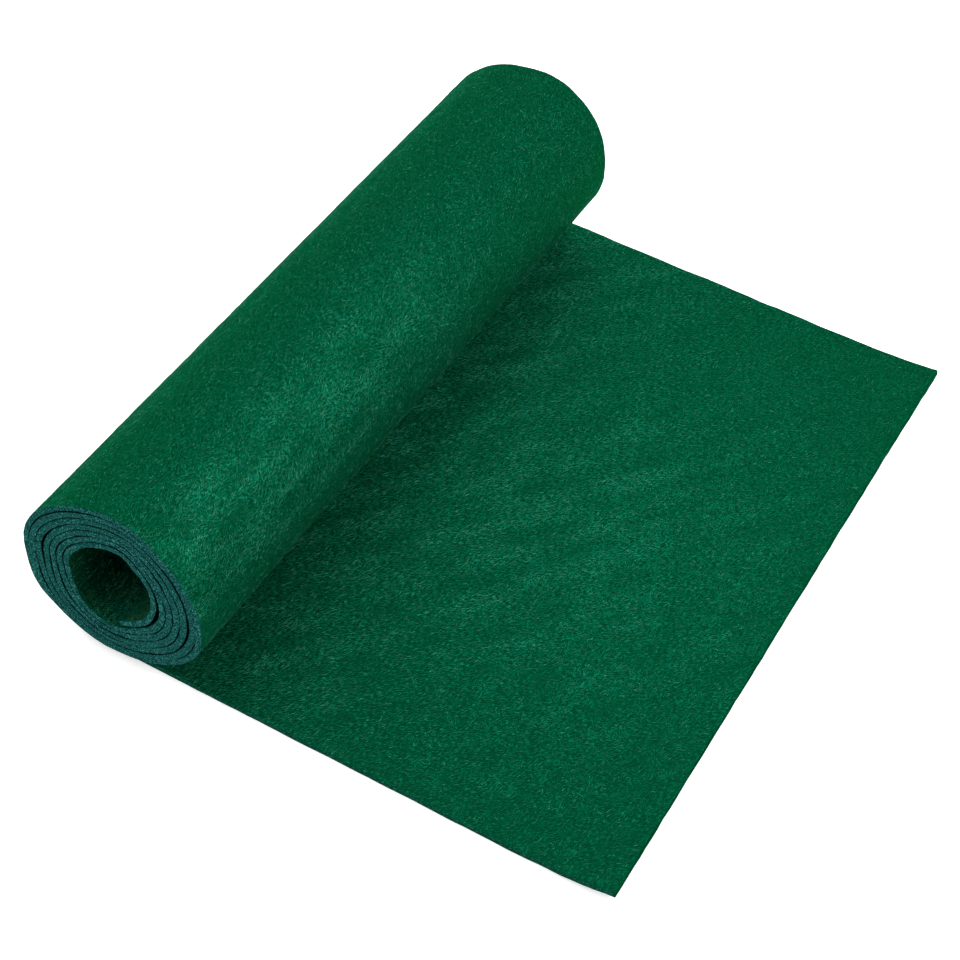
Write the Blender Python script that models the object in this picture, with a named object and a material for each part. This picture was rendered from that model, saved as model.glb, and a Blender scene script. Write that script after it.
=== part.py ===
# Roll of felt: one cut length of thick felt, wound seven turns, with its outer end unrolled and lying flat.
# Metres, +Z up. The roll's axis is along Y and the loose end runs out along +X on the ground.
import bpy
import bmesh
import numpy as np

MM = 0.001

# Driving sizes, in millimetres
FELT_THICKNESS = 3.0
FELT_WIDTH = 400.0        # along the roll
LOOSE_LENGTH = 266.3      # from under the roll's axis to the free end
AXIS_X = -108.5           # the roll's axis, so that the footprint is centred on the origin
TURNS = 6.98              # from the ground contact to the inner end
STATIONS_PER_TURN = 36
LOOSE_STATIONS = 16
WIDTH_STATIONS = 7

CURL_START = 215.0        # the free end lifts off the ground beyond this
CURL_RISE = 5.4
END_SKEW = 4.3            # the near corner of the free end lies this much further out than the far one

# The wound turns have slipped along the axis: they stand out past the loose sheet's near edge by this
# much, unevenly, and are set back from its far edge.
NEAR_SLIP = [
    # turn, standing out
    (0.0, 0.0),
    (0.15, 2.6),
    (0.4, 3.8),
    (0.7, 5.6),
    (0.9, 3.2),
    (1.2, 4.2),
    (7.0, 3.9),
]
FAR_SLIP = 4.0
CENTRE_Y = 2.8            # middle of the loose sheet's width, so that the footprint is centred

# The inner end springs clear of the turn outside it over the last half turn
SPRING_START = 6.38
SPRING_DEPTH = 1.4

# Section of the winding. Directions go round as the felt winds inwards, from straight down by way of
# the left side and the top. eye: radius of the last turn's middle line. pitch: step from turn to turn.
SECTION = [
    # degrees from down, eye, pitch
    (0, 26.0, 3.45),
    (20, 27.2, 3.40),
    (40, 25.7, 3.66),
    (60, 23.2, 4.17),
    (80, 22.3, 4.04),
    (105, 23.2, 4.02),
    (135, 22.8, 3.69),
    (165, 24.2, 3.57),
    (196, 27.4, 3.56),
    (215, 24.9, 3.83),
    (240, 23.3, 4.19),
    (270, 23.3, 4.19),
    (300, 23.2, 4.13),
    (325, 22.4, 4.07),
    (345, 23.9, 3.81),
]


def through(knots, values, at):
    """Smooth curve through values at knots, read at the given places."""
    slope = np.zeros_like(values)
    slope[1:-1] = (values[2:] - values[:-2]) / (knots[2:] - knots[:-2])
    i = np.clip(np.searchsorted(knots, at, side='right') - 1, 0, len(knots) - 2)
    step = knots[i + 1] - knots[i]
    u = (at - knots[i]) / step
    return ((2 * u**3 - 3 * u**2 + 1) * values[i] + (u**3 - 2 * u**2 + u) * step * slope[i]
            + (3 * u**2 - 2 * u**3) * values[i + 1] + (u**3 - u**2) * step * slope[i + 1])


def around(column, degrees):
    """Smooth closed curve through one column of SECTION, read at the given directions."""
    rows = np.array(SECTION)
    angle = np.concatenate([rows[-2:, 0] - 360, rows[:, 0], rows[:2, 0] + 360])
    value = np.concatenate([rows[-2:, column], rows[:, column], rows[:2, column]])
    return through(angle, value, np.mod(degrees, 360))


def smooth(u):
    u = np.clip(u, 0, 1)
    return u * u * (3 - 2 * u)


def winding():
    """Middle line of the wound felt seen along the roll, from the ground contact to the inner end."""
    turns = np.linspace(0, TURNS, round(TURNS * STATIONS_PER_TURN) + 1)
    degrees = turns * 360
    radius = around(1, degrees) + around(2, degrees) * (7 - turns)
    spring = np.clip((turns - SPRING_START) / (TURNS - SPRING_START), 0, 1)
    radius = radius - SPRING_DEPTH * np.sin(np.pi * spring) ** 2
    angle = np.radians(degrees)
    x = AXIS_X - radius * np.sin(angle)
    z = -radius * np.cos(angle)
    z = z - z.min() + FELT_THICKNESS / 2
    # the first stretch leaves the ground without a kink
    z = FELT_THICKNESS / 2 + (z - FELT_THICKNESS / 2) * np.where(turns < 1, smooth(turns / 0.06), 1)
    return turns, x, z


def loose_end():
    """Middle line of the loose felt, from its free end to the ground contact."""
    out = LOOSE_LENGTH * (1 - np.linspace(0, 1, LOOSE_STATIONS) ** 0.8)[:-1]
    lift = CURL_RISE * np.clip((out - CURL_START) / (LOOSE_LENGTH - CURL_START), 0, None) ** 2
    return AXIS_X + out, FELT_THICKNESS / 2 + lift, out / LOOSE_LENGTH


def sheet_mesh():
    """Grid of the felt's middle surface: stations along its length by stations across its width."""
    loose_x, loose_z, far_out = loose_end()
    turns, wound_x, wound_z = winding()
    slip_rows = np.array(NEAR_SLIP)
    flat = np.zeros_like(loose_x)
    x = np.concatenate([loose_x, wound_x])
    z = np.concatenate([loose_z, wound_z])
    near = np.concatenate([flat, through(slip_rows[:, 0], slip_rows[:, 1], turns)])
    far = np.concatenate([flat, FAR_SLIP * smooth(turns / 0.9)])
    skew = np.concatenate([END_SKEW * far_out**2, np.zeros_like(wound_x)])

    bm = bmesh.new()
    rows = []
    for xs, zs, near_slip, far_slip, skewed in zip(x, z, near, far, skew):
        near_y = CENTRE_Y - FELT_WIDTH / 2 - near_slip
        far_y = CENTRE_Y + FELT_WIDTH / 2 - far_slip
        row = []
        for across in np.linspace(0, 1, WIDTH_STATIONS):
            row.append(bm.verts.new(((xs + skewed * (0.5 - across)) * MM,
                                     (near_y + (far_y - near_y) * across) * MM, zs * MM)))
        rows.append(row)
    for a, b in zip(rows, rows[1:]):
        for j in range(WIDTH_STATIONS - 1):
            bm.faces.new((a[j], a[j + 1], b[j + 1], b[j]))
    bmesh.ops.recalc_face_normals(bm, faces=bm.faces)
    mesh = bpy.data.meshes.new('felt_roll')
    bm.to_mesh(mesh)
    bm.free()
    return mesh


def felt_material():
    material = bpy.data.materials.new('felt')
    material.use_nodes = True
    shader = material.node_tree.nodes['Principled BSDF']
    shader.inputs['Base Color'].default_value = (0.004, 0.105, 0.048, 1)
    shader.inputs['Roughness'].default_value = 0.95
    shader.inputs['Metallic'].default_value = 0.0
    material.diffuse_color = (0.004, 0.105, 0.048, 1)
    return material


for old in list(bpy.data.objects):
    bpy.data.objects.remove(old, do_unlink=True)

mesh = sheet_mesh()
mesh.materials.append(felt_material())
mesh.shade_smooth()
felt = bpy.data.objects.new('felt_roll', mesh)
bpy.context.collection.objects.link(felt)

thickness = felt.modifiers.new('Thickness', 'SOLIDIFY')
thickness.thickness = FELT_THICKNESS * MM
thickness.offset = 0.0
thickness.use_even_offset = True
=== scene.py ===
# Roll of green felt, partly unrolled. Metres, +Z up, roll along Y, loose end out along +X.
import math
import bpy
import numpy as np
from mathutils import Matrix, Vector


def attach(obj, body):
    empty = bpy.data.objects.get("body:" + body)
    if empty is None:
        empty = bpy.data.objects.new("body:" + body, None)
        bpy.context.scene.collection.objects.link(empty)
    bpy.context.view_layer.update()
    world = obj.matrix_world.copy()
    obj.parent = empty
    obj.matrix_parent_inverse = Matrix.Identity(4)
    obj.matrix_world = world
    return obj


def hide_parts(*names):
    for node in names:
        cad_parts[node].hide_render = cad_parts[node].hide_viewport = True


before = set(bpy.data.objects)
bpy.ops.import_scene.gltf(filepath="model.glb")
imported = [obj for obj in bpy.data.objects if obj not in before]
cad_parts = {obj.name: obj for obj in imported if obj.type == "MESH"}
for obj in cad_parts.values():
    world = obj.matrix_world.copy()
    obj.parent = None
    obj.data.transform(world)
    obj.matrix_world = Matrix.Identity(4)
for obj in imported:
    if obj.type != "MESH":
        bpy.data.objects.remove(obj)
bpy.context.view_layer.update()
scene = bpy.context.scene
print('frame loaded')


# camera
camera = {
    'azimuth': 25.83,          # degrees round from straight along +Y
    'elevation': 46.72,
    'roll': 5.30,
    'distance': 1.1924,
    'target': (-0.0194, -0.0038, 0.0),
    'focalPixels': 2276.4, 'pictureWidth': 960,
    'sensorWidth': 36.0,       # millimetres
    'clip': (0.05, 20),
}


# direction from the target to the camera comes from azimuth and elevation; the frame is then
# turned about that direction by roll
def setCamera(c):
    a, e, r = (math.radians(c[k]) for k in ('azimuth', 'elevation', 'roll'))
    back = Vector((math.sin(a) * math.cos(e), -math.cos(a) * math.cos(e), math.sin(e)))
    right = (-back).cross(Vector((0, 0, 1))).normalized()
    up = right.cross(-back)
    right, up = (math.cos(r) * right + math.sin(r) * up, math.cos(r) * up - math.sin(r) * right)
    data = bpy.data.cameras.new('camera')
    data.sensor_width = c['sensorWidth']
    data.lens = c['focalPixels'] / c['pictureWidth'] * c['sensorWidth']
    data.clip_start, data.clip_end = c['clip']
    eye = bpy.data.objects.new('camera', data)
    eye.matrix_world = Matrix.Translation(Vector(c['target']) + back * c['distance']) @ Matrix(
        (right, up, back)).transposed().to_4x4()
    scene.collection.objects.link(eye)
    scene.camera = eye


setCamera(camera)
scene.view_settings.view_transform = 'Standard'
scene.view_settings.look = 'None'
print('camera set')


# floor and light
studio = {
    'floorSize': 6.0, 'floorDrop': 0.0002,
    'floorColour': (0.94, 0.94, 0.94), 'floorRoughness': 0.9, 'floorGlow': 0.50,
    'skyStrength': 0.95,
    # name, watts, diameter, place
    'lights': (
        ('key', 22.0, 1.6, (-1.5, 0.4, 1.9)),
        ('back', 2.0, 0.2, (-0.33, 0.94, 1.16)),
        ('side', 4.2, 0.2, (0.54, 0.31, 0.69))),
    'aim': (0.0, 0.0, 0.03),
}


def addLight(name, power, size, place, aim):
    data = bpy.data.lights.new(name, 'AREA')
    data.shape, data.size, data.energy = 'DISK', size, power
    lamp = bpy.data.objects.new(name, data)
    lamp.location = place
    lamp.visible_camera = False
    lamp.rotation_euler = (Vector(aim) - Vector(place)).to_track_quat('-Z', 'Y').to_euler()
    scene.collection.objects.link(lamp)


def addStudio(s):
    h = s['floorSize'] / 2
    mesh = bpy.data.meshes.new('floor')
    mesh.from_pydata([(-h, -h, 0), (h, -h, 0), (h, h, 0), (-h, h, 0)], [], [(0, 1, 2, 3)])
    floor = bpy.data.objects.new('floor', mesh)
    floor.location.z = -s['floorDrop']
    scene.collection.objects.link(floor)
    paper = bpy.data.materials.new('paper')
    paper.use_nodes = True
    shader = paper.node_tree.nodes['Principled BSDF']
    shader.inputs['Base Color'].default_value = (*s['floorColour'], 1)
    shader.inputs['Roughness'].default_value = s['floorRoughness']
    shader.inputs['Emission Color'].default_value = (1, 1, 1, 1)
    shader.inputs['Emission Strength'].default_value = s['floorGlow']
    mesh.materials.append(paper)
    world = bpy.data.worlds.new('studio')
    world.use_nodes = True
    sky = world.node_tree.nodes['Background']
    sky.inputs['Color'].default_value = (1, 1, 1, 1)
    sky.inputs['Strength'].default_value = s['skyStrength']
    scene.world = world
    for name, power, size, place in s['lights']:
        addLight(name, power, size, place, s['aim'])


addStudio(studio)
print('floor and lights set')


# the felt's path
roll = {
    'thickness': 0.0030,
    'width': 0.400,
    'loose': 0.2663,           # from under the roll's axis to the free end
    'axisX': -0.1085, 'axisZ': 0.05165,
    'centreY': 0.0028,
    'turns': 6.98,
    'liftOff': 0.06,           # turns over which the felt leaves the ground
    'curlStart': 0.215, 'curlRise': 0.0054,
    'endSkew': 0.0043,
    'farSlip': 0.0040, 'farSlipTurns': 0.9,
    'farFrom': 0.8,            # share of the width past which the far end differs
    'farCornerDroop': 0.45,    # share of the curl that is missing at the far corner of the free end
    'loosePoints': 400, 'woundPoints': 4001,
    'seam': 0.00046, 'leastSeam': 0.00018,         # left open between two wound turns
    'seamWander': 0.25, 'seamWaves': (0.04, 0.4),  # how uneven it is, and its waves in turns
    'seamPressed': 0.6, 'pressedAt': 0.98,         # share closed under the roll, and the turn there
    'mostSwelling': 0.0014,
    # turns over which each side goes from open to covered and back
    'innerCover': 0.2, 'innerUncover': 0.1, 'outerCover': 0.06,
    # turn, millimetres by which the near edge stands out there
    'nearSlip': ((0, 0), (0.15, 2.6), (0.4, 3.8), (0.7, 5.6), (0.9, 3.2), (1.2, 4.2), (7, 3.9)),
    # degrees from down, radius of the eye's turn and step from turn to turn, millimetres
    'section': (
        (0, 26.0, 3.45), (20, 27.2, 3.40), (40, 25.7, 3.66), (60, 23.2, 4.17), (80, 22.3, 4.04),
        (105, 23.2, 4.02), (135, 22.8, 3.69), (165, 24.2, 3.57), (196, 27.4, 3.56), (215, 24.9, 3.83),
        (240, 23.3, 4.19), (270, 23.3, 4.19), (300, 23.2, 4.13), (325, 22.4, 4.07), (345, 23.9, 3.81)),
    # turn, spread in turns, millimetres: where a turn stands off (+) or is drawn in (-)
    'slack': (
        (0.13, 0.04, 0.3), (0.235, 0.03, 0.3), (0.29, 0.05, -0.8), (0.79, 0.05, 0.8), (1.29, 0.05, -0.4),
        (1.74, 0.13, 0.2), (1.78, 0.03, 0.5), (2.28, 0.07, -0.6), (2.68, 0.08, -0.4), (2.78, 0.06, -0.1),
        (3.27, 0.07, -0.9), (3.66, 0.08, -0.9), (4.28, 0.06, -0.3), (4.67, 0.08, -0.8),
        (6.583, 0.035, -1.0), (6.667, 0.035, 0.9), (6.82, 0.085, -1.6), (6.96, 0.04, -0.7)),
    # the same for the seam inside a turn: how much wider or narrower it is there
    'openings': (
        (0.42, 0.06, -0.15), (0.86, 0.05, 0.25), (1.14, 0.05, 0.6), (1.23, 0.07, 0.4), (1.68, 0.09, 0.4),
        (1.78, 0.04, 0.8), (1.93, 0.07, -0.1), (2.20, 0.12, 0.15), (2.29, 0.045, 0.8), (2.58, 0.08, 0.3),
        (2.78, 0.06, 0.25), (3.16, 0.05, 0.25), (3.63, 0.07, 0.4), (4.31, 0.03, 0.2), (4.72, 0.03, 0.3),
        (5.58, 0.07, -0.25), (5.71, 0.03, 0.6), (5.78, 0.05, 1.6), (5.87, 0.06, 0.6)),
    # the same in every turn near the roll's far end, whose outline differs from the near one's
    'farDent': ((0.506, 0.045, -1.1), (0.617, 0.075, 1.6)),
}


def smoothStep(u):
    u = np.clip(u, 0, 1)
    return u * u * (3 - 2 * u)


# cubic through the knots whose slope at each knot is that of the line joining its neighbours
def through(knots, values, at):
    slope = np.zeros_like(values)
    slope[1:-1] = (values[2:] - values[:-2]) / (knots[2:] - knots[:-2])
    i = np.clip(np.searchsorted(knots, at, side='right') - 1, 0, len(knots) - 2)
    step = knots[i + 1] - knots[i]
    u = (at - knots[i]) / step
    return ((2 * u**3 - 3 * u**2 + 1) * values[i] + (u**3 - 2 * u**2 + u) * step * slope[i]
            + (3 * u**2 - 2 * u**3) * values[i + 1] + (u**3 - u**2) * step * slope[i + 1])


# one column of the section read right round, as a closed smooth curve
def around(column, degrees):
    rows = np.array(roll['section'], float)
    angle = np.concatenate([rows[-2:, 0] - 360, rows[:, 0], rows[:2, 0] + 360])
    value = np.concatenate([rows[-2:, column], rows[:, column], rows[:2, column]])
    return through(angle, value, np.mod(degrees, 360)) * 0.001


# sum of bells, each its height times e to the minus square of the distance over the spread
def bells(rows, turns):
    return 0.001 * sum(height * np.exp(-((turns - middle) / spread) ** 2)
                       for middle, spread, height in rows)


# radius of the middle line: the eye's radius plus the step times the turns still to come, and slack
def windingRadius(turns):
    degrees = turns * 360
    return around(1, degrees) + around(2, degrees) * (7 - turns) + bells(roll['slack'], turns)


# middle line of the wound felt, turned from straight down by way of the left side; the first stretch
# leaves the ground without a kink
def windingLine(turns):
    half = roll['thickness'] / 2
    radius, angle = windingRadius(turns), np.radians(turns * 360)
    z = roll['axisZ'] - radius * np.cos(angle)
    z = half + (z - half) * np.where(turns < 1, smoothStep(turns / roll['liftOff']), 1)
    return roll['axisX'] - radius * np.sin(angle), z


# the whole middle line by length s from the free end, with the turn number (under 0 on the loose
# part), the inward or upward normal, and the near and far edges of the cloth
def makePath():
    out = roll['loose'] * (1 - np.linspace(0, 1, roll['loosePoints'])[:-1])
    share = (out - roll['curlStart']) / (roll['loose'] - roll['curlStart'])
    looseZ = roll['thickness'] / 2 + roll['curlRise'] * np.clip(share, 0, None) ** 2
    turns = np.linspace(0, roll['turns'], roll['woundPoints'])
    woundX, woundZ = windingLine(turns)
    x = np.concatenate([roll['axisX'] + out, woundX])
    z = np.concatenate([looseZ, woundZ])
    turn = np.concatenate([-out / roll['loose'], turns])
    s = np.concatenate([[0], np.cumsum(np.hypot(np.diff(x), np.diff(z)))])
    dx, dz = np.gradient(x, s), np.gradient(z, s)
    size = np.hypot(dx, dz)
    slip = np.array(roll['nearSlip'], float)
    slip = 0.001 * through(slip[:, 0], slip[:, 1], np.clip(turn, 0, 7))
    near = roll['centreY'] - roll['width'] / 2 - slip
    far = roll['centreY'] + roll['width'] / 2 - roll['farSlip'] * smoothStep(turn / roll['farSlipTurns'])
    return {'s': s, 'x': x, 'z': z, 'nx': dz / size, 'nz': -dx / size, 'turn': turn, 'near': near,
            'far': far, 'length': s[-1], 'looseLength': float(np.interp(0, turn, s))}


path = makePath()


def along(key, s):
    return np.interp(s, path['s'], path[key])


def lengthAt(turn):
    return float(np.interp(turn, path['turn'], path['s']))


# sum of plane waves of seeded direction, phase and wavelength between the two limits, about 1 high
def ripple(a, b, shortest, longest, seed, count=22):
    r = np.random.default_rng(seed)
    total = np.zeros(np.broadcast(a, b).shape)
    for wave in shortest * (longest / shortest) ** r.random(count):
        heading, phase = r.random(2) * 2 * np.pi
        total += np.sin(2 * np.pi / wave * (a * np.cos(heading) + b * np.sin(heading)) + phase)
    return total / math.sqrt(count / 2)


# height, shortest and longest wave, seed
relief = {
    'nearEdge': (0.00012, 0.012, 0.11, 5), 'farEdge': (0.00012, 0.015, 0.12, 6),
    'innerFace': (0.00007, 0.007, 0.045, 11), 'outerFace': (0.00007, 0.007, 0.045, 12),
    'longEdges': (0.00008, 0.002, 0.02, 21), 'ends': (0.00008, 0.002, 0.02, 22),
}


def unevenness(where, a, b):
    height, shortest, longest, seed = relief[where]
    return height * ripple(a, b, shortest, longest, seed)


# a point of the cloth: s along it, w across from the near edge (0) to the far edge (1), and height
# from the middle line along the inward normal; the free end is skewed and droops at its far corner,
# the long edges wander, and a negative s runs straight on past the free end
def clothPoint(s, w, height):
    near = along('near', s) + unevenness('nearEdge', s, 0 * s)
    far = along('far', s) + unevenness('farEdge', s, 0 * s)
    turn, atFar = along('turn', s), smoothStep((w - roll['farFrom']) / (1 - roll['farFrom']))
    out = np.clip(-turn, 0, 1)
    height = height - atFar * bells(roll['farDent'], np.where(turn > 0, turn % 1, 0))
    x, z = along('x', s), along('z', s)
    x = x + roll['endSkew'] * out**2 * (0.5 - w) + along('nx', s) * height - np.minimum(s, 0)
    z = z - roll['farCornerDroop'] * atFar * (out > 0) * (z - roll['thickness'] / 2)
    return np.stack([x, near + (far - near) * w, z + along('nz', s) * height], -1)


# 1 where a side lies against another turn, 0 where it faces open air
def coveredSide(s, side):
    turn, last, fade = along('turn', s), roll['turns'], roll['outerCover']
    if side > 0:
        uncovered = smoothStep((last - 1 - turn) / roll['innerUncover'])
        return smoothStep(turn / roll['innerCover']) * uncovered
    return smoothStep((turn - roll['pressedAt']) / fade) * smoothStep((last - turn) / fade)


# how far the wound felt swells on one side: half of what the step to the next turn leaves over the
# thickness and the seam, whose width wanders and which is pressed closed under the roll
def swelling(s, side):
    outer = along('turn', s) - (side < 0)
    pressed = 0.5 + 0.5 * np.cos(2 * np.pi * (outer - roll['pressedAt']))
    pressed = roll['seamPressed'] * pressed ** 2
    wander = roll['seamWander'] * ripple(outer, 0 * s, *roll['seamWaves'], 7)
    seam = roll['seam'] * (1 - pressed + wander)
    seam = np.maximum(seam + bells(roll['openings'], outer), roll['leastSeam'])
    spare = windingRadius(outer) - windingRadius(outer + 1) - roll['thickness'] - seam
    return np.clip(spare, 0, roll['mostSwelling']) / 2 * coveredSide(s, side)


# height of a face over the middle line: half the thickness plus the swelling and gentle lumps
def faceHeight(s, y, side):
    lump = unevenness('innerFace' if side > 0 else 'outerFace', s, y)
    return roll['thickness'] / 2 + swelling(s, side) + lump


# painted highlight: where the felt is painted lighter and with more contrast, as where light catches it
napPlaces = {
    # the loose part: the middle of its painted highlight and its spread, each in x and y
    'looseMiddle': (0.015, -0.015), 'looseSpread': (0.13, 0.14),
    # painted light where its fibres lie combed next to the roll, up to this x, and less and less over the
    # next stretch
    'combed': 0.75, 'combedTo': -0.05, 'combedFade': 0.13,
    # painted light just inside the eye's ends, and along its lowest line, whose spread in turns is given
    # to its right and to its left
    'rim': 0.45, 'rimDepth': 0.022,
    'floor': 3.4, 'floorDepth': 0.018, 'floorFade': 0.035, 'floorSpread': (0.115, 0.08),
    # the outermost turn: painted highlight, most at so many degrees from down, with the spread before and
    # after it, less towards the far end from this y on; and a little painted sheen on the left side, so
    # many degrees before
    'top': 222, 'topSpread': (27, 42),
    'farLoss': 0.95, 'farFrom': -0.06, 'farFade': 0.19,
    'left': 0.4, 'leftBefore': 92, 'leftSpread': 24,
    # degrees of the lay on the inner and the outer face; patches of the painted light: mean, height, how
    # much longer than wide, shortest and longest wave
    'lay': (132, 95),
    'patchMean': 0.75, 'patchHeight': 0.32, 'patchStretch': 2.5, 'patchWaves': (0.012, 0.04),
}


# 1 on the loose part next to the roll, where the fibres lie combed, 0 further out
def combed(x):
    return 1 - smoothStep((x - napPlaces['combedTo']) / napPlaces['combedFade'])


# 1 along the lowest line of the eye, falling off to 0 up its sides, more slowly up the right one
def eyeFloor(turn):
    right, left = napPlaces['floorSpread']
    past = (turn + 0.5) % 1 - 0.5
    return np.exp(-(past / np.where(past < 0, right, left)) ** 2)


# painted light of the inner face: e to the minus square of the distance from its middle on the loose
# part, and painted light on the rim and floor of the eye
def innerPaintedLight(s, y):
    n = napPlaces
    (middleX, middleY), (spreadX, spreadY) = n['looseMiddle'], n['looseSpread']
    x, turn, across = along('x', s), along('turn', s), along('near', s) + y
    nap = np.exp(-((x - middleX) / spreadX) ** 2 - ((across - middleY) / spreadY) ** 2)
    nap = np.maximum(nap, n['combed'] * combed(x))
    depth = np.minimum(y, roll['width'] - y)
    rim = n['rim'] * (1 - smoothStep(depth / n['rimDepth']))
    low = eyeFloor(turn) * (1 - smoothStep((depth - n['floorDepth']) / n['floorFade']))
    return np.where(turn > 1, np.maximum(rim, n['floor'] * low), nap)


# painted highlight of the outer face, along the top and the left side of the roll
def outerPaintedLight(s, y):
    n = napPlaces
    before, after = n['topSpread']
    past = along('turn', s) * 360 - n['top']
    nap = np.where(past < 0, np.exp(-(past / before) ** 2), np.exp(-(past / after) ** 4))
    farShare = smoothStep((along('near', s) + y - n['farFrom']) / n['farFade'])
    left = n['left'] * np.exp(-((past + n['leftBefore']) / n['leftSpread']) ** 2)
    return nap * (1 - n['farLoss'] * farShare) + left


# how strong the painted light is, 0 to 1 and more on the eye's floor, in patches drawn out along the lay
def napOf(s, y, side):
    n = napPlaces
    nap = innerPaintedLight(s, y) if side > 0 else outerPaintedLight(s, y)
    lay = math.radians(n['lay'][0 if side > 0 else 1])
    u, v = s * math.cos(lay) + y * math.sin(lay), y * math.cos(lay) - s * math.sin(lay)
    patches = n['patchHeight'] * ripple(u / n['patchStretch'], v, *n['patchWaves'], 33)
    return np.clip(nap * (n['patchMean'] + patches), 0, np.maximum(1, nap))


# vertices, and faces given as rows of corner indices, go straight into a new mesh
def meshFrom(name, points, faces):
    mesh = bpy.data.meshes.new(name)
    corners = faces.shape[1]
    mesh.vertices.add(len(points))
    mesh.vertices.foreach_set('co', points.astype(np.float32).ravel())
    mesh.loops.add(faces.size)
    mesh.loops.foreach_set('vertex_index', faces.astype(np.int32).ravel())
    mesh.polygons.add(len(faces))
    mesh.polygons.foreach_set('loop_start', np.arange(0, faces.size, corners, dtype=np.int32))
    mesh.update(calc_edges=True)
    mesh.polygons.foreach_set('use_smooth', np.ones(len(faces), bool))
    return mesh


def place(name, mesh, material):
    piece = bpy.data.objects.new(name, mesh)
    scene.collection.objects.link(piece)
    mesh.materials.append(material)
    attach(piece, 'root')
    return piece


# materials
look = {
    'faceDark': (0.0000, 0.033, 0.0122), 'faceLight': (0.0022, 0.106, 0.0475),
    # next: the colour of the painted highlight, and the colour of the painted shade
    'napLight': (0.0036, 0.174, 0.096), 'paintedShade': (0.0005, 0.0060, 0.0050),
    'edge': (0.0060, 0.068, 0.061), 'edgeDark': (0.0010, 0.016, 0.0155),
    'edgeLight': (0.062, 0.290, 0.255),
    'fibreDark': (0.0008, 0.070, 0.028), 'fibreLight': (0.130, 0.620, 0.380),
    'fibreOlive': (0.115, 0.30, 0.11), 'fibreRoughness': 0.32, 'fibreMetallic': 0.32,
    'cutFibreDark': (0.0015, 0.035, 0.033), 'cutFibreLight': (0.070, 0.330, 0.290),
    'glossTint': (0.06, 0.62, 0.38),
    # the faces' shade from dark to light is streaks, grain and mottle by their shares, less so much,
    # with contrast that the painted light adds to, and so much more in the end
    'streakShare': 0.98, 'grainShare': 2.3, 'mottleShare': 0.12, 'shadeLess': -1.60, 'shadeMore': 0.24,
    'contrast': 0.75, 'napContrast': 1.4, 'napTint': 0.7,
    # specks of the cut edges, and the gain and offset that part off the dark and the bright ones
    'speckScale': 1300.0, 'speckDetail': 2.0, 'speckRoughness': 0.7,
    'speckDark': (4.0, -1.35), 'speckBright': (5.5, -2.95),
    # gloss of the painted light against the inner face's 1; what gloss adds to metallic and the inner
    # face to roughness, and what they are without
    'napGloss': 0.6, 'metallic': (0.23, 0.22), 'roughness': (-0.05, 0.35),
    'bumpDepth': 0.00025,
}


def newMaterial(name):
    material = bpy.data.materials.new(name)
    material.use_nodes = True
    shader = material.node_tree.nodes['Principled BSDF']
    shader.inputs['Specular IOR Level'].default_value = 0.0
    shader.inputs['Specular Tint'].default_value = (*look['glossTint'], 1)
    return material, material.node_tree, shader


def addMath(tree, operation, a, b=None, c=None, clamp=False):
    node = tree.nodes.new('ShaderNodeMath')
    node.operation, node.use_clamp = operation, clamp
    for socket, value in zip(node.inputs, (a, b, c)):
        if value is None:
            continue
        if isinstance(value, (int, float)):
            socket.default_value = value
        else:
            tree.links.new(value, socket)
    return node.outputs[0]


def addMix(tree, factor, a, b, clamp=True):
    node = tree.nodes.new('ShaderNodeMix')
    node.data_type, node.clamp_factor = 'RGBA', clamp
    for socket, value in ((node.inputs[0], factor), (node.inputs[6], a), (node.inputs[7], b)):
        if isinstance(value, tuple):
            socket.default_value = (*value, 1)
        elif isinstance(value, (int, float)):
            socket.default_value = value
        else:
            tree.links.new(value, socket)
    return node.outputs[2]


def readMark(tree, name):
    node = tree.nodes.new('ShaderNodeAttribute')
    node.attribute_name = name
    return node.outputs['Fac']


streaks = {
    'length': 0.0022, 'width': 0.00040, 'patch': 0.008,
    # degrees of each lay, and the offset that says how much of the felt its patches take
    'lays': ((40, 0), (160, -3.3), (95, -3.3), (128, -2.8)),
    'patchGain': 7.0,
    'combed': 3.0,             # more patches of the last lay where the felt lies combed
    'distortion': 0.3,
    'outerTurn': 0.6,          # radians by which the outer face's lays are turned against the inner one's
    # gain and offset that make a soft and a sharp streak of the noise, and their shares
    'soft': (3.4, -1.2), 'softShare': 0.55, 'sharp': (9.0, -5.1), 'sharpShare': 1.1,
    'grainScale': 2100.0, 'mottleScale': 120.0,
}


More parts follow.
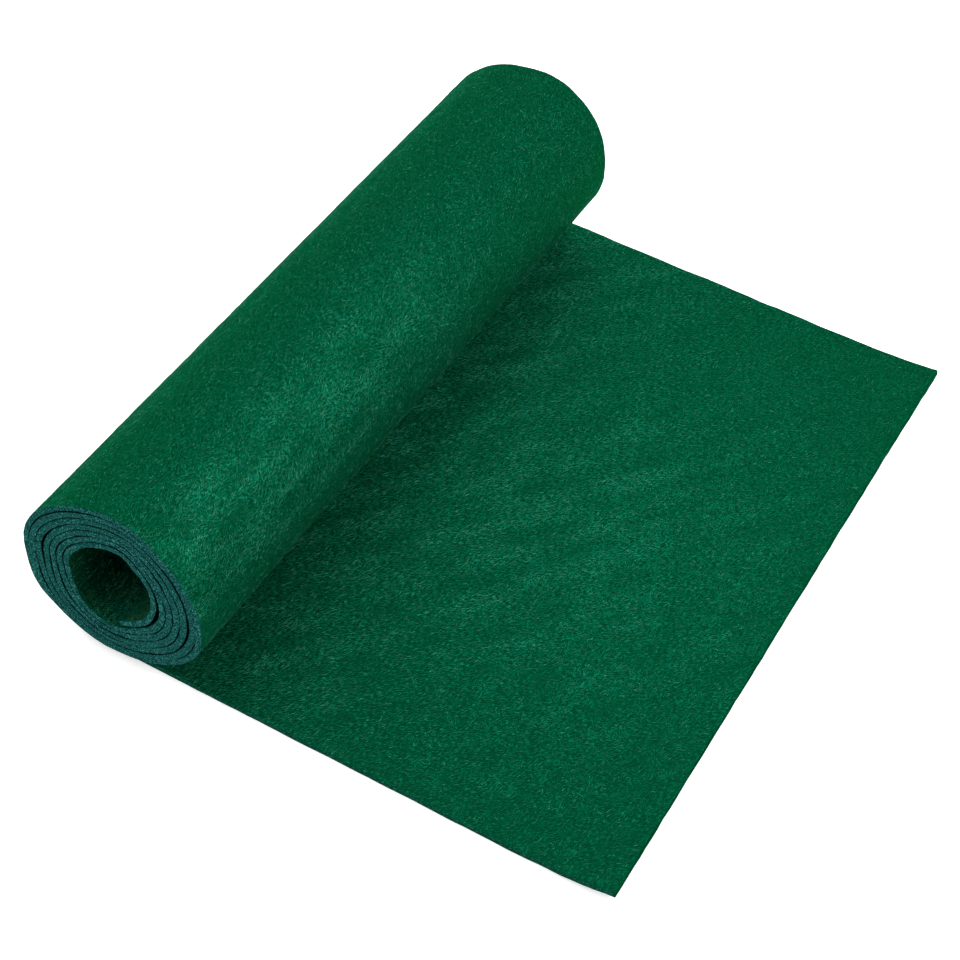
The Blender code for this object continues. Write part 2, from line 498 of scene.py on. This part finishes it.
# fibres seen as fine streaks: noise stretched along one of four lays, each lay laid over the ones
# before it in its own patches; plus an even fine grain and a slow mottle
def makeFibreGroup():
    tree = bpy.data.node_groups.new('feltFibres', 'ShaderNodeTree')
    face = tree.interface
    face.new_socket('Vector', in_out='INPUT', socket_type='NodeSocketVector')
    for name, value in (('Length', streaks['length']), ('Width', streaks['width']),
                        ('Patch', streaks['patch']), ('Turn', 0.0), ('Combed', 0.0)):
        socket = face.new_socket(name, in_out='INPUT', socket_type='NodeSocketFloat')
        socket.default_value = value
    for name in ('Streaks', 'Grain', 'Mottle', 'Height'):
        face.new_socket(name, in_out='OUTPUT', socket_type='NodeSocketFloat')
    start, end = tree.nodes.new('NodeGroupInput'), tree.nodes.new('NodeGroupOutput')

    def noise(vector, scale, detail, distortion=0.0):
        node = tree.nodes.new('ShaderNodeTexNoise')
        node.inputs['Scale'].default_value = scale
        node.inputs['Detail'].default_value = detail
        node.inputs['Roughness'].default_value = 0.5
        node.inputs['Distortion'].default_value = distortion
        tree.links.new(vector, node.inputs['Vector'])
        return node.outputs['Fac']

    def vectorMath(operation, a, b):
        node = tree.nodes.new('ShaderNodeVectorMath')
        node.operation = operation
        tree.links.new(a, node.inputs[0])
        if isinstance(b, tuple):
            node.inputs[1].default_value = b
        else:
            tree.links.new(b, node.inputs[1])
        return node.outputs[0]

    size = tree.nodes.new('ShaderNodeCombineXYZ')
    tree.links.new(start.outputs['Length'], size.inputs[0])
    tree.links.new(start.outputs['Width'], size.inputs[1])
    size.inputs[2].default_value = 1.0
    patchSize = tree.nodes.new('ShaderNodeCombineXYZ')
    for i in range(3):
        tree.links.new(start.outputs['Patch'], patchSize.inputs[i])
    spot = vectorMath('DIVIDE', start.outputs['Vector'], patchSize.outputs[0])
    total = None
    # the offsets, multiples of k, only keep one lay's noise apart from the next one's
    for k, (lay, least) in enumerate(streaks['lays']):
        turned = tree.nodes.new('ShaderNodeVectorRotate')
        turned.rotation_type = 'Z_AXIS'
        angle = addMath(tree, 'SUBTRACT', start.outputs['Turn'], math.radians(lay))
        tree.links.new(angle, turned.inputs['Angle'])
        tree.links.new(start.outputs['Vector'], turned.inputs['Vector'])
        shrunk = vectorMath('DIVIDE', turned.outputs[0], size.outputs[0])
        shrunk = vectorMath('ADD', shrunk, (3.1 * k, 7.7 * k, 2.3 * k))
        line = noise(shrunk, 1.0, 0.0, streaks['distortion'])
        soft = addMath(tree, 'MULTIPLY_ADD', line, *streaks['soft'], clamp=True)
        sharp = addMath(tree, 'MULTIPLY_ADD', line, *streaks['sharp'], clamp=True)
        soft = addMath(tree, 'MULTIPLY', soft, streaks['softShare'])
        line = addMath(tree, 'MULTIPLY_ADD', sharp, streaks['sharpShare'], soft)
        if total is None:
            total = line
            continue
        area = vectorMath('ADD', spot, (11.3 * k, 5.1 * k, 1.7 * k))
        if k == len(streaks['lays']) - 1:
            least = addMath(tree, 'MULTIPLY_ADD', start.outputs['Combed'], streaks['combed'], least)
        patch = noise(area, 1.0, 1.0)
        patch = addMath(tree, 'MULTIPLY_ADD', patch, streaks['patchGain'], least, clamp=True)
        total = addMath(tree, 'MULTIPLY_ADD', addMath(tree, 'SUBTRACT', line, total), patch, total)
    grain = noise(start.outputs['Vector'], streaks['grainScale'], 0.0)
    mottle = noise(start.outputs['Vector'], streaks['mottleScale'], 2.0)
    height = addMath(tree, 'MULTIPLY_ADD', total, 0.5, addMath(tree, 'MULTIPLY', grain, 0.5))
    for name, value in (('Streaks', total), ('Grain', grain), ('Mottle', mottle), ('Height', height)):
        tree.links.new(value, end.inputs[name])
    return tree


fibreGroup = makeFibreGroup()


def makeFeltMaterial():
    material, tree, shader = newMaterial('felt')
    uv = tree.nodes.new('ShaderNodeUVMap')
    uv.uv_map = 'cloth'
    group = tree.nodes.new('ShaderNodeGroup')
    group.node_tree = fibreGroup
    tree.links.new(uv.outputs[0], group.inputs['Vector'])
    cut, inner, nap, paintedShade, comb = (readMark(tree, name)
                                   for name in ('cut', 'inner', 'nap', 'paintedShade', 'combed'))
    turn = addMath(tree, 'MULTIPLY_ADD', inner, -streaks['outerTurn'], streaks['outerTurn'])
    tree.links.new(turn, group.inputs['Turn'])
    tree.links.new(comb, group.inputs['Combed'])
    # faces: from dark to light by streaks and grain together, with more contrast where light is painted
    shade = group.outputs['Streaks']
    shade = addMath(tree, 'MULTIPLY_ADD', shade, look['streakShare'], look['shadeLess'])
    shade = addMath(tree, 'MULTIPLY_ADD', group.outputs['Grain'], look['grainShare'], shade)
    contrast = addMath(tree, 'MINIMUM', nap, 1.0)
    contrast = addMath(tree, 'MULTIPLY_ADD', contrast, look['napContrast'], look['contrast'])
    shade = addMath(tree, 'MULTIPLY', shade, contrast)
    shade = addMath(tree, 'MULTIPLY_ADD', group.outputs['Mottle'], look['mottleShare'], shade)
    shade = addMath(tree, 'ADD', shade, look['shadeMore'], clamp=True)
    # painted highlight: the light end of the faces' colour goes towards a brighter one, past it on the
    # eye's floor
    light = addMath(tree, 'MULTIPLY', nap, look['napTint'])
    light = addMix(tree, light, look['faceLight'], look['napLight'], clamp=False)
    faceColour = addMix(tree, shade, look['faceDark'], light)
    # cut edges: bluer and speckled
    speck = tree.nodes.new('ShaderNodeTexNoise')
    speck.inputs['Scale'].default_value = look['speckScale']
    speck.inputs['Detail'].default_value = look['speckDetail']
    speck.inputs['Roughness'].default_value = look['speckRoughness']
    coordinate = tree.nodes.new('ShaderNodeTexCoord')
    tree.links.new(coordinate.outputs['Object'], speck.inputs['Vector'])
    dark = addMath(tree, 'MULTIPLY_ADD', speck.outputs['Fac'], *look['speckDark'], clamp=True)
    bright = addMath(tree, 'MULTIPLY_ADD', speck.outputs['Fac'], *look['speckBright'], clamp=True)
    edgeColour = addMix(tree, dark, look['edgeDark'], look['edge'])
    edgeColour = addMix(tree, bright, edgeColour, look['edgeLight'])
    # painted shade: between the turns and inside the eye the faces go towards a dark colour
    colour = addMix(tree, paintedShade, addMix(tree, cut, faceColour, edgeColour), look['paintedShade'])
    tree.links.new(colour, shader.inputs['Base Color'])
    # the inner face and the painted highlight are glossier than the rest, the cut edges are matt
    gloss = addMath(tree, 'MAXIMUM', inner, addMath(tree, 'MULTIPLY', nap, look['napGloss']), clamp=True)
    gloss = addMath(tree, 'MULTIPLY_ADD', gloss, *look['metallic'])
    gloss = addMath(tree, 'MULTIPLY', gloss, addMath(tree, 'SUBTRACT', 1.0, cut))
    tree.links.new(gloss, shader.inputs['Metallic'])
    roughness = addMath(tree, 'MULTIPLY_ADD', inner, *look['roughness'])
    tree.links.new(roughness, shader.inputs['Roughness'])
    bump = tree.nodes.new('ShaderNodeBump')
    bump.inputs['Strength'].default_value = 1.0
    bump.inputs['Distance'].default_value = look['bumpDepth']
    tree.links.new(group.outputs['Height'], bump.inputs['Height'])
    tree.links.new(bump.outputs[0], shader.inputs['Normal'])
    return material


def makeFibreMaterial(name, dark, light):
    material, tree, shader = newMaterial(name)
    shader.inputs['Roughness'].default_value = look['fibreRoughness']
    shader.inputs['Metallic'].default_value = look['fibreMetallic']
    colour = addMix(tree, readMark(tree, 'olive'), look[light], look['fibreOlive'])
    colour = addMix(tree, readMark(tree, 'tint'), look[dark], colour)
    tree.links.new(colour, shader.inputs['Base Color'])
    return material


feltMaterial = makeFeltMaterial()
fibreMaterial = makeFibreMaterial('fibre', 'fibreDark', 'fibreLight')
cutFibreMaterial = makeFibreMaterial('cutFibre', 'cutFibreDark', 'cutFibreLight')
print('materials made')


# the felt
cloth = {
    'looseStep': 0.0055,       # station spacing on the loose part
    'outerStations': 84,       # on the outermost turn
    'innerStations': 46,       # on each turn inside it
    'acrossStep': 0.0062,
    'corner': 0.00025,         # rounding of the cut corners
    # rows close to a cut end, in corner roundings from it, and the share of the thickness there
    'endRows': (0, 0.3, 1.0, 2.2), 'endPinch': (0.88, 0.96, 0.99, 1.0),
    # rows close to a cut edge, in corner roundings from it, and the share of the thickness at the edge
    'sideRows': (0.3, 1.0, 2.6), 'sidePinch': 0.97,
    'edgeRows': (0.97, 0.5, -0.5, -0.97),   # heights over a cut edge, as shares of half the thickness
    'edgeBulge': 0.00012,
    'edgeStretch': 40,         # across the thickness, so that each row over an edge has its own lumps
    'looseCut': 0.5,           # the loose part's own cut edges are greener by this share
    'combedUnderRoll': 0.03,   # how far the combed fibres go on under the roll
}

# painted shade: how dark the felt is painted where little light comes
shadow = {
    # sides of the eye: share, over which depth from its ends; the same further in; and its floor
    'eyeSide': 0.65, 'eyeSideFrom': -0.003, 'eyeSideFade': 0.020,
    'eyeDeep': 0.2, 'eyeDeepFrom': 0.030, 'eyeDeepFade': 0.030,
    'eyeFloor': 0.65, 'eyeFloorFrom': 0.022, 'eyeFloorFade': 0.035,
    # between the turns, less by this share from the turn where the inner end stands off
    'standOff': 0.8, 'standOffFrom': 5.77, 'standOffFade': 0.06,
}


# painted shade of a face: full between two turns, less so where the inner end stands off; the eye is
# painted dark away from its ends, but along its floor only from further in
def paintedShadeOf(s, y, side):
    k = shadow
    if side < 0:
        return coveredSide(s, -1)
    turn, depth = along('turn', s), np.minimum(y, roll['width'] - y)
    low = eyeFloor(turn)
    eye = (1 - low) * k['eyeSide'] * smoothStep((depth - k['eyeSideFrom']) / k['eyeSideFade'])
    eye = eye + k['eyeDeep'] * smoothStep((depth - k['eyeDeepFrom']) / k['eyeDeepFade'])
    eye = eye + low * k['eyeFloor'] * smoothStep((depth - k['eyeFloorFrom']) / k['eyeFloorFade'])
    standOff = k['standOff'] * smoothStep((turn - k['standOffFrom']) / k['standOffFade'])
    return np.maximum(coveredSide(s, 1) * (1 - standOff), eye * (turn > roll['turns'] - 1))


# closed skin of the cloth: stations along its length by one loop round its cross-section, which
# runs over the inner face from near to far, round the far cut edge, back over the outer face and
# round the near cut edge; the two ends are closed by strips across the thickness
def makeCloth():
    c, t, width = cloth, roll['thickness'], roll['width']
    r = c['corner']
    # stations, close together at both cut ends
    loose = np.linspace(0, path['looseLength'], round(path['looseLength'] / c['looseStep']) + 1)[1:-1]
    outer = np.linspace(0, 1, c['outerStations'] + 1)[:-1]
    inner = np.linspace(1, roll['turns'], round((roll['turns'] - 1) * c['innerStations']) + 1)[:-1]
    turnStations = np.interp(np.concatenate([outer, inner]), path['turn'], path['s'])
    close = np.array(c['endRows']) * r
    s = np.concatenate([close, loose, turnStations, path['length'] - close[::-1]])
    pinch = np.ones_like(s)
    pinch[:len(close)] = c['endPinch']
    pinch[-len(close):] = c['endPinch'][::-1]
    # across the width, close together at the cut edges
    count = round(width / c['acrossStep'])
    side = np.array(c['sideRows'])
    w = np.linspace(c['acrossStep'], width - c['acrossStep'], count - 1) / r
    w = np.concatenate([side, w, width / r - side[::-1]]) * r / width
    edge = np.array(c['edgeRows'])
    # the loop: w, height as a share of half the thickness, 1 on a face and 0 on a cut edge
    loopW = np.concatenate([w, np.ones_like(edge), w[::-1], np.zeros_like(edge)])
    loopH = np.concatenate([np.ones_like(w), edge, -np.ones_like(w), -edge])
    loopFace = np.concatenate([np.ones_like(w), 0 * edge, np.ones_like(w), 0 * edge])
    inward = np.clip(1 - np.minimum(loopW, 1 - loopW) * width / (side[-1] * r), 0, 1)
    drop = np.where(loopFace > 0, 1 - (1 - c['sidePinch']) * inward ** 2, c['sidePinch'])
    S, W = np.meshgrid(s, loopW, indexing='ij')
    H = np.broadcast_to(loopH, S.shape)
    Y = W * width
    half = np.where(H > 0, faceHeight(S, Y, 1), faceHeight(S, Y, -1)) * drop
    points = clothPoint(S, W, H * half * pinch[:, None])
    # lumps on the long cut edges and on the two ends
    lump = unevenness('longEdges', S, c['edgeStretch'] * H * t)
    sign = np.where(loopW > 0.5, 1, -1) * (loopFace == 0)
    points[..., 1] += sign * (lump + c['edgeBulge'] * (1 - H**2))
    lump = unevenness('ends', Y, c['edgeStretch'] * H * t)
    for row in (0, 1, -1, -2):
        points[row, :, 0] += lump[row]
    # the underside is flat where it rests on the ground
    points[..., 2] = np.maximum(points[..., 2], 0)
    rows, columns = S.shape
    index = np.arange(rows * columns).reshape(rows, columns)
    following = np.roll(index, -1, 1)
    sides = np.stack([index[:-1], index[1:], following[1:], following[:-1]], -1).reshape(-1, 4)
    # an end is closed by a strip between the two halves of its loop, from one cut edge to the other
    n, m = len(w), len(edge) // 2
    one = np.concatenate([np.arange(n + m - 1, -1, -1), np.arange(columns - 1, columns - m - 1, -1)])
    two = np.arange(n + m, columns - m)
    strip = np.stack([one[:-1], one[1:], two[1:], two[:-1]], -1)
    faces = np.concatenate([sides, index[0][strip], index[-1][strip][:, ::-1]])
    mesh = meshFrom('felt', points.reshape(-1, 3), faces)
    # flat measure of the cloth in metres: along it, and round the loop
    wrap = np.concatenate([w * width, width + t * (1 - edge) / 2, 2 * width + t - w[::-1] * width,
                           2 * width + t + t * (1 - edge) / 2, [2 * width + 2 * t]])
    flat = np.stack(np.meshgrid(s, wrap, indexing='ij'), -1)
    sideFlat = np.stack([flat[:-1, :-1], flat[1:, :-1], flat[1:, 1:], flat[:-1, 1:]], -2).reshape(-1, 2)
    endFlat = [flat[0, :-1][strip].reshape(-1, 2), flat[-1, :-1][strip[:, ::-1]].reshape(-1, 2)]
    layer = mesh.uv_layers.new(name='cloth')
    layer.data.foreach_set('uv', np.concatenate([sideFlat] + endFlat).astype(np.float32).ravel())
    # marks that the material reads
    cut = np.broadcast_to(1.0 - loopFace, S.shape).copy()
    cut[[-1, -2]] = 1
    cut *= 1 - c['looseCut'] * (S < path['looseLength'])
    inner = (1 - cut) * (H > 0)
    # painted light and painted shade, which the material reads
    nap = np.where(H > 0, napOf(S, Y, 1), napOf(S, Y, -1))
    paintedShade = loopFace * np.where(H > 0, paintedShadeOf(S, Y, 1), paintedShadeOf(S, Y, -1))
    comb = inner * combed(along('x', S)) * (S < path['looseLength'] + c['combedUnderRoll'])
    for name, values in (('cut', cut), ('inner', inner), ('nap', nap), ('paintedShade', paintedShade), ('combed', comb)):
        mark = mesh.attributes.new(name, 'FLOAT', 'POINT')
        mark.data.foreach_set('value', values.astype(np.float32).ravel())
    return mesh


felt = place('felt', makeCloth(), feltMaterial)
print('felt made:', len(felt.data.polygons), 'faces')


# fibres
fibres = {
    'perSquareCm': 50,
    # length: from the shortest to the longest, which is longer where they lie combed and in the eye
    'shortest': 0.0013, 'longest': 0.0040, 'longestCombed': 0.0058, 'longestInEye': 0.0080,
    'shortestAtEdge': 0.0012,
    'radius': (0.00004, 0.00007), 'lift': (0.00003, 0.00010),
    'bend': 110,               # most curvature to either side, one over metres
    'clumps': (0.02, 0.07),    # shortest and longest wave of the heading
    'evenWeight': 0.35,        # of a place outside the painted light; its strength is added to it
    'olive': 0.15, 'oliveInEye': 0.6,   # share of olive ones
    # how many lie in the near end of the eye, and how deep it goes; and on the two cut edges
    'eye': 6500, 'eyeDepth': 0.04, 'nearEdge': 9000, 'farEdge': 6000,
    # those on the cut edges: scatter of the heading, and share of the thickness that they cover
    'cutLength': (0.0008, 0.0022), 'cutRadius': (0.00004, 0.00008), 'cutLift': (0.00003, 0.00015),
    'cutBend': 400, 'cutScatter': 0.7, 'cutReach': 0.8,
    # distance from the free end, past the roll's foot and from the inner end; turns that they cover
    'fromEnd': 0.002, 'intoRoll': 0.012, 'fromInnerEnd': 0.003,
    'outerTurns': (0.035, 0.985), 'eyeFrom': 5.99,
}


# each fibre is a closed sliver with three corners round its middle: it lies at its heading over the
# surface, bowed sideways at the middle, its two tips just under the surface
def layFibres(name, toSpace, a, b, heading, length, bend, lift, radius, tint, olive, material):
    t = np.array([-0.5, 0, 0.5])[None] * length[:, None]
    sway = np.array([0, -1, 0])[None] * (bend * length**2 / 8)[:, None]
    c, n = np.cos(heading)[:, None], np.sin(heading)[:, None]
    A, B = a[:, None] + t * c - sway * n, b[:, None] + t * n + sway * c
    high = lift[:, None] * np.array([-0.5, 1, -0.5])[None]
    line = toSpace(A, B, high)
    middle = line[:, 1]
    up = toSpace(A[:, 1], B[:, 1], high[:, 1] + 1e-4) - middle
    up /= np.linalg.norm(up, axis=-1, keepdims=True)
    across = np.cross(line[:, 2] - line[:, 0], up)
    across /= np.linalg.norm(across, axis=-1, keepdims=True)
    r = radius[:, None]
    points = [line[:, 0], middle + across * r, middle + up * r, middle - across * r, line[:, 2]]
    points = np.stack(points, 1)
    pattern = [(0, 1, 2), (0, 2, 3), (0, 3, 1), (4, 2, 1), (4, 3, 2), (4, 1, 3)]
    faces = (np.arange(len(a))[:, None, None] * 5 + np.array(pattern)[None]).reshape(-1, 3)
    mesh = meshFrom(name, points.reshape(-1, 3), faces)
    for mark, values in (('tint', tint), ('olive', olive)):
        layer = mesh.attributes.new(mark, 'FLOAT', 'POINT')
        layer.data.foreach_set('value', np.repeat(values, 5).astype(np.float32))
    return place(name, mesh, material)


# places on a face of the cloth: a is length along it, b the distance from the near edge
def onFace(side):
    def toSpace(a, b, high):
        return clothPoint(a, b / roll['width'], side * (faceHeight(a, b, side) + high))
    return toSpace


# places on a long cut edge: a is length along it, b the height over the middle line
def onEdge(far):
    def toSpace(a, b, high):
        return clothPoint(a, (1 + high / roll['width']) if far else -high / roll['width'], b)
    return toSpace


def spread(r, count, low, high):
    return low + (high - low) * r.random(count)


# fibres over one stretch of a face, more of them and brighter where light is painted: of twice as many
# places the ones kept have the least minus logarithm of a random number over their weight
def faceFibres(name, side, sFrom, sTo, yFrom, yTo, count, seed, layOf, olive):
    r = np.random.default_rng(seed)
    a, b = spread(r, 2 * count, sFrom, sTo), spread(r, 2 * count, yFrom, yTo)
    # the painted light decides how many fibres are kept here and how bright their tint is
    nap = napOf(a, b, side)
    kept = np.argsort(-np.log(r.random(2 * count)) / (fibres['evenWeight'] + nap))[:count]
    a, b, nap = a[kept], b[kept], nap[kept]
    lay, scatter, longest = layOf(a)
    heading = lay + scatter * (ripple(a, b, *fibres['clumps'], 31) + r.standard_normal(count))
    length = fibres['shortest'] + (longest - fibres['shortest']) * r.random(count) ** 2
    # no longer than twice the way to the cut edge
    room = 2 * np.minimum(b, roll['width'] - b)
    length = np.minimum(length, np.maximum(room, fibres['shortestAtEdge']))
    return layFibres(name, onFace(side), a, b, heading, length,
                     spread(r, count, -fibres['bend'], fibres['bend']),
                     spread(r, count, *fibres['lift']), spread(r, count, *fibres['radius']),
                     r.random(count) ** (4.0 - 3.0 * np.minimum(nap, 1)), r.random(count) < olive,
                     fibreMaterial)


# short fibres over a long cut edge
def cutFibres(name, toSpace, aFrom, aTo, count, seed):
    r = np.random.default_rng(seed)
    h = fibres['cutReach'] * roll['thickness'] / 2
    a, b = spread(r, count, aFrom, aTo), spread(r, count, -h, h)
    heading = fibres['cutScatter'] * r.standard_normal(count)
    length = spread(r, count, *fibres['cutLength'])
    return layFibres(name, toSpace, a, b, heading, length,
                     spread(r, count, -fibres['cutBend'], fibres['cutBend']),
                     spread(r, count, *fibres['cutLift']), spread(r, count, *fibres['cutRadius']),
                     r.random(count) ** 2, np.zeros(count), cutFibreMaterial)


# heading and its scatter, in radians from along the cloth towards its far edge
lays = {
    'loose': (2.35, 0.38), 'combedLess': (0.28, 0.25),
    'roll': (1.4, 0.42), 'rollFrontMore': 0.6,
    'eye': (1.57, 0.22),
}


# each of these gives the heading, the scatter and the length of the longest fibres at lengths a
def layLoose(a):
    near = combed(along('x', a))
    (heading, scatter), (headingLess, scatterLess) = lays['loose'], lays['combedLess']
    longest = fibres['longest'] + (fibres['longestCombed'] - fibres['longest']) * near
    return heading - headingLess * near, scatter - scatterLess * near, longest


# the heading turns from half a turn on, over a fifth of a turn
def layRoll(a):
    heading, scatter = lays['roll']
    front = np.clip((along('turn', a) - 0.5) * 5, 0, 1)
    return heading + lays['rollFrontMore'] * front, scatter, fibres['longest']


def layEye(a):
    return (*lays['eye'], fibres['longestInEye'])


# the near and the far half of one stretch of a face, two pieces
def faceHalves(name, side, sFrom, sTo, area, seed, layOf):
    width = roll['width']
    count = round(fibres['perSquareCm'] * 1e4 * area / 2)
    return [faceFibres(name + half, side, sFrom, sTo, yFrom, yFrom + width / 2, count, seed + k, layOf,
                       fibres['olive'])
            for k, (half, yFrom) in enumerate((('Near', 0.0), ('Far', width / 2)))]


looseLength = path['looseLength']
outerFrom, outerTo = (lengthAt(turn) for turn in fibres['outerTurns'])
eyeFrom, innerEnd = lengthAt(fibres['eyeFrom']), path['length'] - fibres['fromInnerEnd']
pieces = faceHalves('looseFibres', 1, fibres['fromEnd'], looseLength + fibres['intoRoll'],
                    looseLength * roll['width'], 41, layLoose)
pieces += faceHalves('rollFibres', -1, outerFrom, outerTo, (outerTo - outerFrom) * roll['width'], 43,
                     layRoll)
pieces += [
    faceFibres('eyeFibres', 1, eyeFrom, innerEnd, 0.0, fibres['eyeDepth'], fibres['eye'], 45, layEye,
               fibres['oliveInEye']),
    cutFibres('nearEdgeFibres', onEdge(False), looseLength, innerEnd, fibres['nearEdge'], 46),
    cutFibres('farEdgeFibres', onEdge(True), looseLength, innerEnd, fibres['farEdge'], 47)]
print('fibres laid:', [len(p.data.polygons) for p in pieces])

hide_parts('felt_roll')

print('done')
